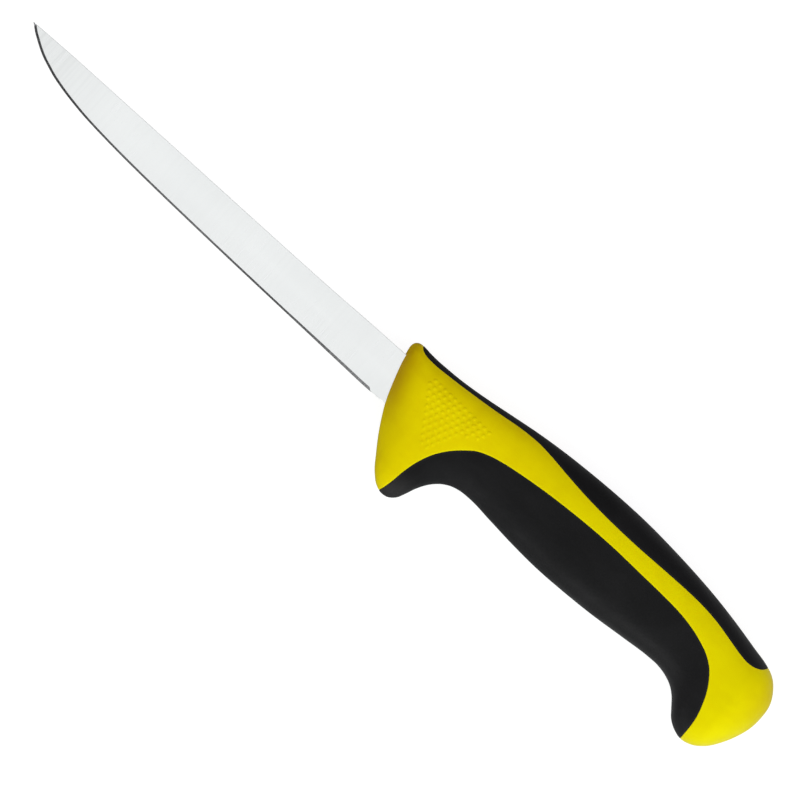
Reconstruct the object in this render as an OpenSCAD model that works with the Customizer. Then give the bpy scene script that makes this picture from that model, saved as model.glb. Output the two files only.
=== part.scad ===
// Narrow boning knife: a stamped blade with a hidden tang, a hard handle core
// moulded round the tang, and two soft grips moulded over the core.
// Lying on its side: +X from the tip to the butt, +Y from the edge to the spine,
// +Z up. The origin is the centre of the blade where it leaves the handle.

/* [Blade] */
// Length from the handle to the tip
blade_len = 152.4; // [140:0.2:165]
// Thickness of the blank at the spine
blade_t = 2.0; // [1.6:0.1:2.4]
// Thickness behind the cutting edge
edge_t = 0.6; // [0.4:0.05:0.8]
// Share of the full thickness left at the tip
tip_taper = 0.5; // [0.35:0.05:0.9]
// Length of the flat part of each face, before it thins towards the tip
flat_len = 62; // [40:1:80]
// Width of the ground bevel halfway along the edge
bevel_w = 0.6; // [0.3:0.05:0.9]
// Width of the ground bevel at the heel
bevel_heel_w = 0.9; // [0.6:0.05:1.6]

/* [Tang] */
// Where the tang ends inside the handle
tang_end = 118; // [90:1:125]
// Depth of the tang behind the shoulders
tang_h = 10; // [7:0.5:12]
// Radius of the holes that lock the tang in the core
lock_hole_r = 2.6; // [1.5:0.1:3.2]
// Number of lock holes
lock_holes = 4; // [2:1:5]

/* [Handle] */
// Half thickness of the handle at the palm swell
palm_w = 11.8; // [10.5:0.1:13]
// Half thickness of the handle at the guard
guard_w = 9.6; // [8:0.1:11]
// Half thickness of the handle at the butt
butt_w = 11.2; // [9:0.1:13]
// Depth of the recesses that hold the soft grips
grip_t = 2.0; // [1.2:0.1:2.4]

/* [Resolution] */
// Steps between two points of an outline
curve_steps = 6; // [4:1:10]
// Steps across each cheek of the core
cheek_steps = 10; // [8:1:14]
// Steps round the soft belly grip
belly_steps = 20; // [14:2:24]
// Steps round the soft spine grip
spine_steps = 10; // [6:2:16]

/* [Hidden] */

steel = [0.86, 0.87, 0.88];
yellow = [0.87, 0.80, 0.02];
black = [0.13, 0.13, 0.14];
circle_sides = 48;

// ---- outlines, all as [x, y] ----
// blade: the back, and the cutting edge with the blunt heel behind it
SPINE = [[-152.4, 7.25], [-145, 7.4], [-110, 7.45], [-75, 7.35], [-45, 7.25], [-28, 7.3],
         [-15, 7.5], [0, 7.6], [10, 7.6]];
EDGE = [[-152.4, 7.2], [-149.8, 5.1], [-147.3, 3.5], [-144.9, 2.1], [-142.4, 0.9], [-140, 0],
        [-137.5, -0.9], [-132.7, -2.15], [-127.8, -3.1], [-122.9, -3.85], [-113, -4.8],
        [-103, -5.45], [-93, -5.9], [-80, -6.35], [-60, -6.9], [-42, -7.3], [-27, -7.6],
        [-12, -7.95], [-1, -8.1], [5.5, -7.75], [10, -7.6]];

// handle from the nose: over the back, and along the guard and the belly, both to the butt
NOSE = [-0.3, 10.5];
BUTT = [155.6, -3.3];
TOP = [NOSE, [0.2, 12.2], [0.9, 12.8], [1.9, 13.15], [3.2, 13.2], [5.7, 12.95], [8.2, 12.8],
       [13, 12.85], [18, 13.05], [23, 13.5], [28, 14.1], [37.5, 15.5], [47, 16.85], [57, 17.85],
       [67, 18.45], [76, 18.75], [84, 18.8], [91.5, 18.6], [101, 17.95], [111, 17], [121, 15.7],
       [130.5, 14], [140.3, 11.9], [145.2, 10.85], [148.4, 9.75], [150.5, 8.5], [152.8, 6.1],
       [154.9, 2.4], BUTT];
BOTTOM = [NOSE, [0, 8.6], [0.9, 4.9], [2.9, -1.2], [4.8, -6.1], [7.3, -11], [10.2, -15.9],
          [13.6, -20.8], [17.4, -25.7], [20.3, -28.1], [22.8, -29], [25.2, -28.7], [27.4, -27],
          [28.8, -24.2], [30.1, -21], [32.6, -17], [35, -14.7], [37.5, -13.3], [40.5, -12.5],
          [45, -12.3], [53, -13], [63, -13.9], [74, -14.45], [84, -14.3], [95, -13.75],
          [108, -12.5], [117, -11.7], [121, -11.7], [125.6, -12.7], [128.2, -13.9],
          [130.6, -15.8], [133, -18.6], [135.4, -21.3], [138, -22.9], [141.4, -23.8],
          [145.2, -22.9], [148.5, -20.5], [151.8, -15.9], [154.1, -11], [155.3, -6.8], BUTT];
// edge of the belly grip on each cheek, from the guard lobe to the hook of the butt
BELLY_LINE = [[21.9, -28.8], [22.5, -26.9], [23, -24.5], [23.7, -19.6], [24.9, -14.7], [27, -9.8],
              [30.6, -4.9], [33.2, -2.4], [36.3, 0], [40, 1.55], [45, 2.8], [50, 3.6], [59, 4.7],
              [69, 5.5], [79, 5.95], [87, 6], [98, 5.65], [108.5, 5.25], [114, 4.9], [119, 4.2],
              [125.6, 2.45], [130.5, 0.3], [133, -1.5], [135.4, -4.2], [137.9, -8.3],
              [139.4, -12], [140.4, -15.8], [141, -19.2], [141.4, -21.8], [141.7, -23.8]];
// edge of the spine grip on each cheek, from the nose to the heel of the butt
SPINE_LINE = [[2.6, 13.2], [3.6, 12.2], [5.7, 11.5], [8.2, 11.3], [15.5, 11.6], [25, 12.4],
              [35, 13.5], [40, 14.2], [45, 14.6], [49, 14.7], [54.6, 14.2], [62, 13.2],
              [69, 12.35], [79, 11.6], [91, 11.25], [106, 11.4], [113.5, 11.4], [120, 11.1],
              [125.6, 10.4], [133, 8.8], [138, 7.7], [141.5, 7.35], [144, 7.8], [146, 8.9],
              [147, 10.25]];

nose_x = NOSE[0];
butt_x = BUTT[0];
belly_start = BELLY_LINE[0][0];
belly_end = BELLY_LINE[len(BELLY_LINE) - 1][0];
spine_start = SPINE_LINE[0][0];
spine_end = SPINE_LINE[len(SPINE_LINE) - 1][0];

// ---- curves through points, with tangents from the neighbours' chords ----
function chord(points, i) = max(norm(points[i + 1] - points[i]), 1e-6);
function slope_at(points, i) =
    i == 0 ? (points[1] - points[0]) / chord(points, 0)
    : i == len(points) - 1 ? (points[i] - points[i - 1]) / chord(points, i - 1)
    : let (before = chord(points, i - 1), after = chord(points, i))
      ((points[i] - points[i - 1]) / before * after
       + (points[i + 1] - points[i]) / after * before) / (before + after);
function hermite(points, i, part, slope0, slope1) =
    let (span = chord(points, i), sq = part * part, cubed = sq * part)
    (2 * cubed - 3 * sq + 1) * points[i] + (cubed - 2 * sq + part) * span * slope0
    + (3 * sq - 2 * cubed) * points[i + 1] + (cubed - sq) * span * slope1;
// first and last, where given, set the direction at the two ends
function curve(points, steps, first = undef, last = undef) =
    [for (i = [0 : len(points) - 2], k = [0 : steps - 1])
        hermite(points, i, k / steps,
                i == 0 && !is_undef(first) ? first : slope_at(points, i),
                i == len(points) - 2 && !is_undef(last) ? last : slope_at(points, i + 1)),
     points[len(points) - 1]];

top_curve = curve(TOP, curve_steps, [0, 1], [0, -1]);
bottom_curve = curve(BOTTOM, curve_steps, [0, -1], [0, 1]);
belly_curve = curve(BELLY_LINE, curve_steps);
spine_grip_curve = curve(SPINE_LINE, curve_steps);
spine_curve = curve(SPINE, curve_steps);
edge_curve = curve(EDGE, curve_steps);

// 0 to 1 with level ends, and 0 to 1 along a quarter circle
function clamp01(value) = min(1, max(0, value));
function smooth(value) = let (part = clamp01(value)) part * part * (3 - 2 * part);
function round_in(dist, radius) = let (part = clamp01(dist / radius)) sqrt(1 - (1 - part) * (1 - part));

// Stations along X from runs of [start x, steps, crowding]; the last run holds only the end.
// Crowding > 0 packs the stations towards the run's start, < 0 towards its end.
function crowd(part, k) = k > 0 ? pow(part, 1 + k) : k < 0 ? 1 - pow(1 - part, 1 - k) : part;
function stations(runs) =
    [for (i = [0 : len(runs) - 2], k = [0 : runs[i][1] - 1])
        runs[i][0] + (runs[i + 1][0] - runs[i][0]) * crowd(k / runs[i][1], runs[i][2]),
     runs[len(runs) - 1][0]];

// ---- handle section at x ----
section_steps = 4;   // steps between two points of the tables below
// [x, half thickness]
WIDTH = curve([[nose_x, guard_w - 1], [8, guard_w - 0.4], [16, guard_w - 0.1], [24, guard_w],
               [36, guard_w + 0.1], [54, palm_w - 0.9], [70, palm_w - 0.1], [84, palm_w],
               [100, palm_w - 0.6], [117, palm_w - 1.4], [129, butt_w - 0.5], [141, butt_w],
               [butt_x, butt_w]], section_steps);
// [x, height of the widest point as a share of the depth]
WIDEST = curve([[nose_x, 0.5], [5, 0.56], [13, 0.64], [22, 0.68], [29, 0.62], [38, 0.53],
                [52, 0.5], [114, 0.5], [127, 0.53], [140, 0.55], [butt_x, 0.5]], section_steps);
nose_round = 2.5;
butt_round = 11;
section_power = 2.4; // exponent of the superellipse section
function half_w(x) =
    lookup(x, WIDTH) * round_in(x - nose_x, nose_round) * round_in(butt_x - x, butt_round);
function y_top(x) = lookup(x, top_curve);
function y_bottom(x) = lookup(x, bottom_curve);
function y_mid(x) = let (low = y_bottom(x)) low + (y_top(x) - low) * lookup(x, WIDEST);
// from the widest point to the back or to the belly
function reach(x, upper) = upper ? y_top(x) - y_mid(x) : y_mid(x) - y_bottom(x);

// the cheeks thin like a wedge towards the guard's front (-X) edge, less so low on the guard
// [y, x of the front edge]
FRONT = [[-29, 22], [-28.1, 20.3], [-25.7, 17.4], [-20.8, 13.6], [-15.9, 10.2], [-11, 7.3],
         [-6.1, 4.8], [-1.2, 2.9], [4.9, 0.9], [8.6, 0], [10.5, -0.3], [12.2, -0.1], [13.2, 0.4]];
wedge_len = 6;       // distance over which the thinning dies away
wedge_lead = 0.9;    // distance added in front of the edge
wedge_low = 0.35;    // strength low on the guard; it is 1 higher up
wedge_low_y = -28;
wedge_rise = 20;     // height over which the strength grows
function wedge(x, y) =
    let (strength = wedge_low + (1 - wedge_low) * smooth((y - wedge_low_y) / wedge_rise))
    1 - strength * exp(-(max(0, x - lookup(y, FRONT)) + wedge_lead) / wedge_len);

// point on the outer skin at x and an angle: 0 is the +Z cheek, 90 the back, -90 the belly
function signed_pow(value, power) = value < 0 ? -pow(-value, power) : pow(value, power);
function skin(x, angle) =
    let (y = y_mid(x) + reach(x, sin(angle) > 0) * signed_pow(sin(angle), 2 / section_power))
    [x, y, half_w(x) * signed_pow(cos(angle), 2 / section_power) * wedge(x, y)];
// angle on the +Z cheek at which the skin is at height y
function skin_angle(x, y) =
    let (upper = y > y_mid(x), part = min(1, abs(y - y_mid(x)) / max(reach(x, upper), 1e-6)))
    (upper ? 1 : -1) * asin(pow(part, section_power / 2));
// the same skin point moved inwards by depth, square to the section's outline
function inset(x, angle, depth) =
    let (delta = 0.6, along = skin(x, angle + delta) - skin(x, angle - delta),
         size = max(norm([along[1], along[2]]), 1e-9), p = skin(x, angle))
    [x, p[1] + depth * along[2] / size, p[2] - depth * along[1] / size];

// angles of the grip edges, and skin angles across each grip and the +Z cheek
function belly_angle(x) =
    x <= belly_start || x >= belly_end ? -90 : skin_angle(x, lookup(x, belly_curve));
function spine_angle(x) =
    x <= spine_start || x >= spine_end ? 90 : skin_angle(x, lookup(x, spine_grip_curve));
function sweep(from, to, steps) = [for (k = [0 : steps]) from + (to - from) * k / steps];
function cheek_path(x) = sweep(belly_angle(x), spine_angle(x), cheek_steps);
belly_path = function (x) sweep(180 - belly_angle(x), 360 + belly_angle(x), belly_steps);
spine_path = function (x) sweep(spine_angle(x), 180 - spine_angle(x), spine_steps);

// grip depths, rounded in over a length at each end
belly_depth = function (x)
    grip_t * round_in(x - belly_start, 2.4) * round_in(belly_end - x, 1.6);
spine_depth = function (x)
    grip_t * round_in(x - spine_start, 5) * round_in(spine_end - x, 3);

STATIONS = stations([[nose_x, 6, 0.8], [spine_start, 7, 0.6], [9, 7, 0], [belly_start, 15, 0.35],
                     [34, 28, 0], [116, 7, 0], [belly_end - 10, 17, -0.5], [belly_end, 6, -0.3],
                     [spine_end, 10, -0.9], [butt_x]]);
last_station = len(STATIONS) - 1;
function station_at(x) = [for (i = [0 : last_station]) if (abs(STATIONS[i] - x) < 1e-6) i][0];

// Closed mesh from loops of points joined station to station.
// merged(i, j) names the column that point j of loop i stands on;
// each four-sided cell is split along its shorter diagonal.
module loops(rows, merged) {
    cols = len(rows[0]);
    points = [for (row = rows) each row];
    function id(i, j) = i * cols + merged(i, j % cols);
    function tri(a, b, c) = a == b || b == c || a == c ? [] : [[a, b, c]];
    faces = [for (i = [0 : len(rows) - 2], j = [0 : cols - 1])
        let (a = id(i, j), b = id(i, j + 1), c = id(i + 1, j + 1), d = id(i + 1, j))
        each (a == d || b == c || norm(points[b] - points[d]) < norm(points[a] - points[c]) - 1e-6
              ? concat(tri(a, b, d), tri(b, c, d)) : concat(tri(a, b, c), tri(a, c, d)))];
    polyhedron(points, faces, convexity = 10);
}

// the whole handle less the grip recesses
module handle_blank() {
    // last column of the +Z cheek, then first and last columns of the -Z cheek
    cheek_last = cheek_steps;
    far_first = cheek_last + spine_steps + 2;
    far_last = far_first + cheek_steps;
    belly_i0 = station_at(belly_start);
    belly_i1 = station_at(belly_end);
    spine_i0 = station_at(spine_start);
    spine_i1 = station_at(spine_end);
    rows = [for (x = STATIONS) let (cheek = [for (angle = cheek_path(x)) skin(x, angle)]) concat(
        cheek,
        [for (angle = spine_path(x)) inset(x, angle, spine_depth(x))],
        [for (k = [cheek_steps : -1 : 0]) [cheek[k][0], cheek[k][1], -cheek[k][2]]],
        [for (angle = belly_path(x)) inset(x, angle, belly_depth(x))])];
    // the ends close to a point, and each recess to a line beyond its grip
    loops(rows, function (i, j)
        i == 0 || i == last_station ? 0
        : (i <= spine_i0 || i >= spine_i1) && j >= cheek_last && j <= far_first ? cheek_last
        : (i <= belly_i0 || i >= belly_i1) && (j >= far_last || j == 0) ? far_last
        : j);
}

// path(x) gives the angles across the grip, depth(x) its thickness
module grip(start, end, path, depth) {
    first = station_at(start);
    last = station_at(end);
    rows = [for (i = [first : last]) let (x = STATIONS[i], angles = path(x)) concat(
        [for (angle = angles) skin(x, angle)],
        [for (k = [len(angles) - 1 : -1 : 0]) inset(x, angles[k], depth(x))])];
    loops(rows, function (i, j) i == 0 || i == last - first ? 0 : j);
}

module belly_grip() {
    color(black) grip(belly_start, belly_end, belly_path, belly_depth);
}

module spine_grip() {
    color(black) grip(spine_start, spine_end, spine_path, spine_depth);
}

// ---- blade ----
tip_x = SPINE[0][0];
tip_y = 7.32;
root_x = SPINE[len(SPINE) - 1][0]; // the blade keeps its full depth to here, in the handle
length_scale = blade_len / -tip_x;
function y_spine(x) = lookup(x, spine_curve);
function y_edge(x) = lookup(x, edge_curve);

// half thickness of the flat faces: a slope from edge to spine, thinned towards the tip
face_low_y = -7.35;  // height at which the thickness is edge_t
face_depth = 15.2;   // depth over which it grows to blade_t
taper_part = 0.75;   // part of the smooth step that the taper uses
function face_h(x, y) =
    let (part = max(0, (-flat_len - x) / (-tip_x - flat_len)),
         thinned = smooth(part * taper_part) / smooth(taper_part))
    (edge_t / 2 + (blade_t - edge_t) / 2 / face_depth * (y - face_low_y))
    * (1 - (1 - tip_taper) * thinned);

// the ground bevel stops just short of the handle, and fades out into the blunt heel
bevel_end = -1.4;
bevel_fade = 1.2;
bevel_min_w = 0.08;
bevel_fade_share = 0.92;
bevel_max_share = 0.9; // of the blade's depth
sharp_h = 0.03;        // half thickness at the cutting edge
blunt_share = 0.9;     // half thickness of the blunt heel, as a share of the face's
function faded(x) = smooth((x - bevel_end) / bevel_fade);
// wider towards the heel from x = -40, and by 0.15 towards the tip from x = -110
function ground_w(x) =
    bevel_w + (bevel_heel_w - bevel_w) * smooth((x + 40) / 32) + 0.15 * smooth((-110 - x) / 40);
function edge_rise(x) = let (step = 0.4) (y_edge(x + step) - y_edge(x - step)) / (2 * step);
function y_bevel(x) =
    let (rise = edge_rise(x), low = y_edge(x),
         width = x > bevel_end ? bevel_heel_w * (1 - faded(x)) * bevel_fade_share + bevel_min_w
                               : ground_w(x))
    min(low + width * sqrt(1 + rise * rise), low + bevel_max_share * (y_spine(x) - low));
function edge_h(x) = sharp_h + (face_h(x, y_edge(x)) * blunt_share - sharp_h) * faded(x);

BLADE_X = stations([[tip_x, 14, 0.8], [-140, 14, 0], [-110, 12, 0], [-flat_len, 12, 0],
                    [bevel_end, 4, 0], [bevel_end + bevel_fade, 4, 0], [root_x]]);

// six corners: edge, bevel and spine on the +Z face, then back down the -Z face
function blade_loop(x) =
    let (low = y_edge(x), bevel = y_bevel(x), high = y_spine(x),
         half = [[low, edge_h(x)], [bevel, face_h(x, bevel)], [high, face_h(x, high)]],
         long_x = x < 0 ? x * length_scale : x)
    [for (p = half) [long_x, p[0], p[1]], for (k = [2 : -1 : 0]) [long_x, half[k][0], -half[k][1]]];

module blade_body() {
    last = len(BLADE_X) - 1;
    // point 0 is the tip
    points = [[tip_x * length_scale, tip_y, 0], for (i = [1 : last]) each blade_loop(BLADE_X[i])];
    function id(i, j) = i == 0 ? 0 : 1 + (i - 1) * 6 + j % 6;
    sides = [for (i = [0 : last - 1], j = [0 : 5])
        let (a = id(i, j), b = id(i, j + 1), c = id(i + 1, j + 1), d = id(i + 1, j))
        each (i == 0 ? [[a, c, d]] : [[a, b, c], [a, c, d]])];
    polyhedron(points, concat(sides, [[for (j = [0 : 5]) id(last, j)]]), convexity = 4);
}

tang_y = 0.4;        // the tang's centre line, a little above the middle of the blank
tang_t = edge_t + 1.3;
tang_overlap = 5;    // length of the tang inside the blade body
hole_start = 26;     // centre of the first lock hole
hole_end_gap = 14;   // from the centre of the last to the tang's end
hole_cut = 10;       // height of the cutters

module tang() {
    radius = tang_h / 2;
    start = root_x - tang_overlap;
    translate([start, tang_y - radius, -tang_t / 2])
        cube([tang_end - radius - start, tang_h, tang_t]);
    translate([tang_end - radius, tang_y, -tang_t / 2])
        cylinder(r = radius, h = tang_t, $fn = circle_sides);
}

module blade() {
    pitch = (tang_end - hole_end_gap - hole_start) / (lock_holes - 1);
    color(steel)
        difference() {
            union() {
                blade_body();
                tang();
            }
            for (i = [0 : lock_holes - 1])
                translate([hole_start + i * pitch, tang_y, -hole_cut / 2])
                    cylinder(r = lock_hole_r, h = hole_cut, $fn = circle_sides);
        }
}

module handle_core() {
    color(yellow)
        difference() {
            handle_blank();
            blade();
        }
}

blade();
handle_core();
belly_grip();
spine_grip();
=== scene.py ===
"""Boning knife: a ground steel blade in a hard yellow handle with soft black grips.

The knife lies on its side. The tip points to -X and the butt to +X, the blade's back faces +Y and
its edge -Y, and Z runs through its thickness, from cheek to cheek. x = 0 is close to the guard.
Shapes are worked out in millimetres and become metres as a mesh is made. Materials, the floor, the
light and the camera are in metres.
"""
import math
import bpy
import bmesh
import numpy as np
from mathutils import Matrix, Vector

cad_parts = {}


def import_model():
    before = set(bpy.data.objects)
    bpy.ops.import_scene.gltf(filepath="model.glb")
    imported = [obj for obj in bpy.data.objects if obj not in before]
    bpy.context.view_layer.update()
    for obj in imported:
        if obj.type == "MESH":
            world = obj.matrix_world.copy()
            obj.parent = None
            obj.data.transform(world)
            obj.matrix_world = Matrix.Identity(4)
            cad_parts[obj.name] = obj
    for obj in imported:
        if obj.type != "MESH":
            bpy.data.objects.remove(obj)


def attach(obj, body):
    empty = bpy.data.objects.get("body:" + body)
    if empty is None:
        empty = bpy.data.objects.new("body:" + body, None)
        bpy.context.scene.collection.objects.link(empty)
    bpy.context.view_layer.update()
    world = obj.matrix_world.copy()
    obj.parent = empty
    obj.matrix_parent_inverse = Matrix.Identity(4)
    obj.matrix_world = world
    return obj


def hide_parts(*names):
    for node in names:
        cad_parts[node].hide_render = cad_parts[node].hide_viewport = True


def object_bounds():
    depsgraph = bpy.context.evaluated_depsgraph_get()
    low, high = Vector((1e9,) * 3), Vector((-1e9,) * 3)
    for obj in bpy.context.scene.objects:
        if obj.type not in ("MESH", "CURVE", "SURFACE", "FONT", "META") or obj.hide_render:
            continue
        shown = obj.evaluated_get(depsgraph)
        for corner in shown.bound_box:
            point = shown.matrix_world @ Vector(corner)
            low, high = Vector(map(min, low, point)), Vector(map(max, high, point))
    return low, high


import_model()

cad_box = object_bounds()
rad = math.radians
MM = 1e-3

# ------------------------------------------------------------------ outlines, as (x, y)
SPINE = [
    (-152.4, 7.25), (-145, 7.4), (-110, 7.45), (-75, 7.35), (-45, 7.25), (-28, 7.3), (-15, 7.5),
    (0, 7.6), (10, 7.6)]
EDGE = [
    (-152.4, 7.2), (-149.8, 5.1), (-147.3, 3.5), (-144.9, 2.1), (-142.4, 0.9), (-140, 0),
    (-137.5, -0.9), (-132.7, -2.15), (-127.8, -3.1), (-122.9, -3.85), (-113, -4.8), (-103, -5.45),
    (-93, -5.9), (-80, -6.35), (-60, -6.9), (-42, -7.3), (-27, -7.6), (-12, -7.95), (-1, -8.1),
    (5.5, -7.75), (10, -7.6)]
NOSE = (-0.3, 10.5)     # the handle's end nearest the tip
BUTT = (155.6, -3.3)
TOP = [
    NOSE, (0.2, 12.2), (0.9, 12.8), (1.9, 13.15), (3.2, 13.2), (5.7, 12.95), (8.2, 12.8),
    (13, 12.85), (18, 13.05), (23, 13.5), (28, 14.1), (37.5, 15.5), (47, 16.85), (57, 17.85),
    (67, 18.45), (76, 18.75), (84, 18.8), (91.5, 18.6), (101, 17.95), (111, 17), (121, 15.7),
    (130.5, 14), (140.3, 11.9), (145.2, 10.85), (148.4, 9.75), (150.5, 8.5), (152.8, 6.1),
    (154.9, 2.4), BUTT]
BOTTOM = [
    NOSE, (0, 8.6), (0.9, 4.9), (2.9, -1.2), (4.8, -6.1), (7.3, -11), (10.2, -15.9),
    (13.6, -20.8), (17.4, -25.7), (20.3, -28.1), (22.8, -29), (25.2, -28.7), (27.4, -27),
    (28.8, -24.2), (30.1, -21), (32.6, -17), (35, -14.7), (37.5, -13.3), (40.5, -12.5),
    (45, -12.3), (53, -13), (63, -13.9), (74, -14.45), (84, -14.3), (95, -13.75), (108, -12.5),
    (117, -11.7), (121, -11.7), (125.6, -12.7), (128.2, -13.9), (130.6, -15.8), (133, -18.6),
    (135.4, -21.3), (138, -22.9), (141.4, -23.8), (145.2, -22.9), (148.5, -20.5), (151.8, -15.9),
    (154.1, -11), (155.3, -6.8), BUTT]
# where each grip meets the yellow core
BELLY_LINE = [
    (21.9, -28.8), (22.5, -26.9), (23, -24.5), (23.7, -19.6), (24.9, -14.7), (27, -9.8),
    (30.6, -4.9), (33.2, -2.4), (36.3, 0), (40, 1.55), (45, 2.8), (50, 3.6), (59, 4.7), (69, 5.5),
    (79, 5.95), (87, 6), (98, 5.65), (108.5, 5.25), (114, 4.9), (119, 4.2), (125.6, 2.45),
    (130.5, 0.3), (133, -1.5), (135.4, -4.2), (137.9, -8.3), (139.4, -12), (140.5, -15.8),
    (140.95, -19.2), (141.1, -21.8), (141.2, -23.8)]
SPINE_LINE = [
    (2.6, 13.2), (3.6, 12.2), (5.7, 11.5), (8.2, 11.3), (15.5, 11.6), (25, 12.4), (35, 13.5),
    (40, 14.2), (45, 14.6), (49, 14.7), (54.6, 14.2), (62, 13.2), (69, 12.35), (79, 11.6),
    (91, 11.25), (106, 11.4), (113.5, 11.4), (120, 11.1), (125.6, 10.4), (133, 8.8), (138, 7.7),
    (141.5, 7.35), (144, 7.8), (146, 8.9), (147, 10.25)]


def curve(points, per_span, first=None, last=None):
    """Smooth curve through the points; tangents from the neighbours' chords."""
    points = np.array(points, float)
    chord = np.diff(points, axis=0)
    length = np.maximum(np.linalg.norm(chord, axis=1), 1e-6)
    unit = chord / length[:, None]
    slope = np.zeros_like(points)
    slope[0] = unit[0] if first is None else first
    slope[-1] = unit[-1] if last is None else last
    slope[1:-1] = ((unit[:-1] * length[1:, None] + unit[1:] * length[:-1, None])
                   / (length[:-1] + length[1:])[:, None])
    t = (np.arange(per_span) / per_span)[:, None]
    spans = []
    for i in range(len(points) - 1):
        spans.append((2 * t**3 - 3 * t**2 + 1) * points[i]
                     + (t**3 - 2 * t**2 + t) * length[i] * slope[i]
                     + (3 * t**2 - 2 * t**3) * points[i + 1]
                     + (t**3 - t**2) * length[i] * slope[i + 1])
    return np.vstack(spans + [points[-1:]])


top_curve = curve(TOP, 24, first=(0, 1), last=(0, -1))
bottom_curve = curve(BOTTOM, 24, first=(0, -1), last=(0, 1))
spine_curve = curve(SPINE, 24)
edge_curve = curve(EDGE, 24)

# ------------------------------------------------------------------ handle section
X_NOSE, X_BUTT = NOSE[0], BUTT[0]
PALM_W, GUARD_W, BUTT_W = 11.8, 9.6, 11.2     # half thicknesses
ROUND_N = 2.4                                 # superellipse power of the section
NOSE_ROUND, BUTT_ROUND = 2.5, 11
WEDGE_LEN = 6.0                               # how fast the guard thickens from its front edge
half_width = curve([    # (x, half thickness)
    (X_NOSE, GUARD_W - 1), (8, GUARD_W - 0.4), (16, GUARD_W - 0.1), (24, GUARD_W),
    (36, GUARD_W + 0.1), (54, PALM_W - 0.9), (70, PALM_W - 0.1), (84, PALM_W), (100, PALM_W - 0.6),
    (117, PALM_W - 1.4), (129, BUTT_W - 0.5), (141, BUTT_W), (X_BUTT, BUTT_W)], 16)
widest_share = curve([  # (x, height of the widest line as a share of the section's)
    (X_NOSE, 0.5), (5, 0.56), (13, 0.64), (22, 0.68), (29, 0.62), (38, 0.53), (52, 0.5),
    (114, 0.5), (127, 0.53), (140, 0.55), (X_BUTT, 0.5)], 16)
# the guard's front edge as (y, x), from the belly up; it follows BOTTOM up to the nose
FRONT = np.array([(-29, 22)] + [(y, x) for x, y in BOTTOM[9::-1]] + [(12.2, -0.1), (13.2, 0.4)])


def look(x, table):
    return np.interp(x, table[:, 0], table[:, 1])


def round_in(distance, radius):
    """0 to 1 along a quarter circle as distance goes from 0 to radius."""
    u = np.clip(distance / radius, 0, 1)
    return np.sqrt(np.maximum(0, 1 - (1 - u) ** 2))


def smooth(u):
    u = np.clip(u, 0, 1)
    return u * u * (3 - 2 * u)


def signed_power(value, power):
    return np.sign(value) * np.abs(value) ** power


def behind_front(x, y):
    """Distance along X behind the guard's front edge."""
    return np.maximum(0, x - np.interp(y, FRONT[:, 0], FRONT[:, 1]))


def wedge(x, y):
    """Factor that thins the cheeks towards the guard's front edge."""
    thinning = 0.35 + 0.65 * smooth((y + 28) / 20)
    return 1 - thinning * np.exp(-(behind_front(x, y) + 0.9) / WEDGE_LEN)


def skin(x, angle):
    """Outer skin: angle is 0 on the + cheek, 90 on the back, -90 on the belly."""
    top, bottom = look(x, top_curve), look(x, bottom_curve)
    middle = bottom + (top - bottom) * look(x, widest_share)
    width = (look(x, half_width) * round_in(x - X_NOSE, NOSE_ROUND)
             * round_in(X_BUTT - x, BUTT_ROUND))
    sine, cosine = np.sin(np.radians(angle)), np.cos(np.radians(angle))
    y = middle + np.where(sine > 0, top - middle, middle - bottom) * signed_power(sine, 2 / ROUND_N)
    return np.stack([x, y, width * signed_power(cosine, 2 / ROUND_N) * wedge(x, y)], axis=-1)


def skin_normal(x, angle):
    """Outward unit normal, from differences; good on the centre plane as well."""
    angle_step, x_step = 0.4, 0.02
    x0, x1 = np.clip(x - x_step, X_NOSE, X_BUTT), np.clip(x + x_step, X_NOSE, X_BUTT)
    around = skin(x, angle + angle_step) - skin(x, angle - angle_step)
    normal = np.cross(skin(x1, angle) - skin(x0, angle), around)
    normal = normal / np.maximum(np.linalg.norm(normal, axis=-1, keepdims=True), 1e-12)
    normal[np.abs(angle) > 89.99, 2] = 0
    normal[x <= X_NOSE + 1e-6] = [-1, 0, 0]
    normal[x >= X_BUTT - 1e-6] = [1, 0, 0]
    normal /= np.maximum(np.linalg.norm(normal, axis=-1, keepdims=True), 1e-12)
    return normal


# ------------------------------------------------------------------ seams
FILLET = 0.26       # radius of the moulded lips on both sides of a seam
INSET = 0.015       # the skins stay this far inside the nominal outline


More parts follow.
